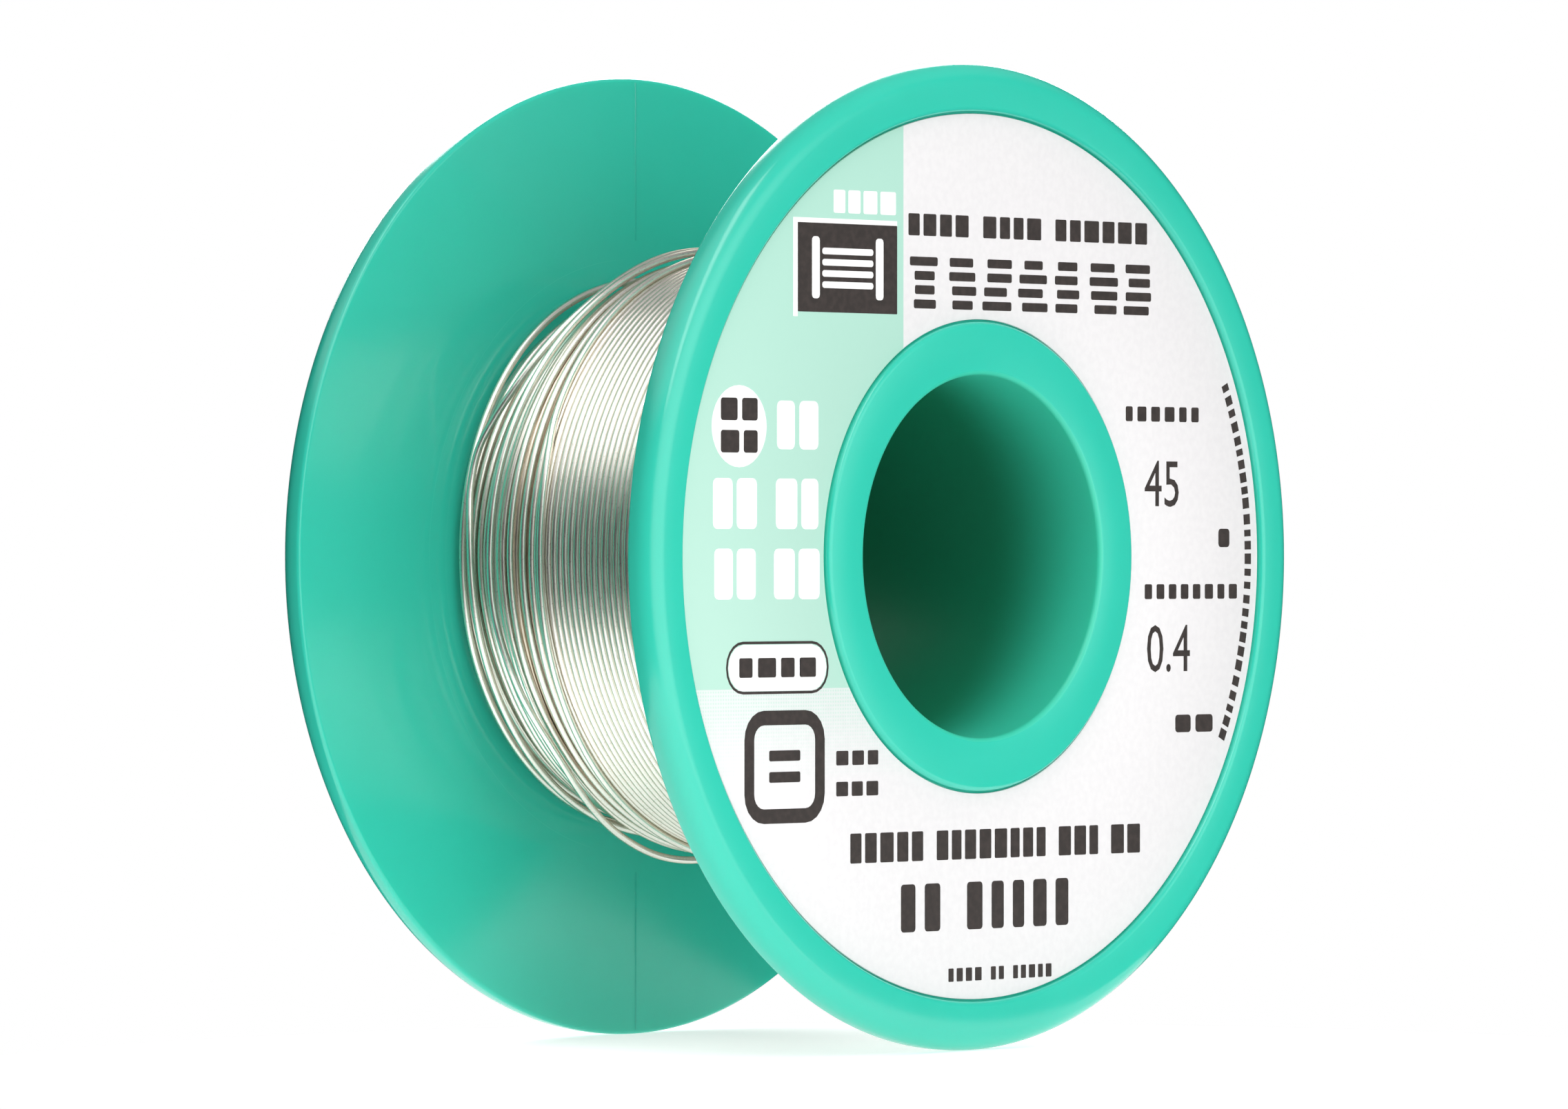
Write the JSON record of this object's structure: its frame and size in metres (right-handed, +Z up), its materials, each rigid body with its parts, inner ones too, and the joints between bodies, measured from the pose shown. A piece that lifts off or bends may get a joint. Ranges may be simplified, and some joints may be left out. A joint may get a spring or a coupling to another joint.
{
  "type": "solder wire reel",
  "caption": "Small moulded reel of fine solder wire standing on its rims, with a label set into the face around its open bore.",
  "frame": {"origin": "middle of the bore, halfway between the two outer faces", "axes": "Y is the reel's axis, with -Y out of the front label; +Z is up with the reel standing on its rims"},
  "size_m": [0.052, 0.0266, 0.052],
  "materials": {
    "reel_plastic": "satin moulded, slightly translucent",
    "label_paper": "coated, satin",
    "solder": "bright drawn tin alloy",
    "flux": "amber rosin"
  },
  "bodies": {
    "reel": {"front_flange": "reel_plastic", "rear_flange": "reel_plastic", "barrel": "reel_plastic", "front_label": "label_paper", "rear_label": "label_paper", "wire_layer_01": "solder", "wire_layer_02": "solder", "wire_layer_03": "solder", "wire_layer_04": "solder", "wire_layer_05": "solder", "wire_layer_06": "solder", "wire_layer_07": "solder", "wire_layer_08": "solder", "wire_layer_09": "solder", "wire_layer_10": "solder", "wire_layer_11": "solder"},
    "loose_turns": {"loose_turn_1": "solder", "loose_turn_2": "solder", "loose_turn_3": "solder", "wire_free_end": "solder", "flux_core": "flux"}
  },
  "joints": [
    {"name": "wire_payout", "type": "hinge", "parent": "reel", "child": "loose_turns", "pos_m": [0, 0, 0], "axis": [0, 1, 0], "continuous": true}
  ]
}
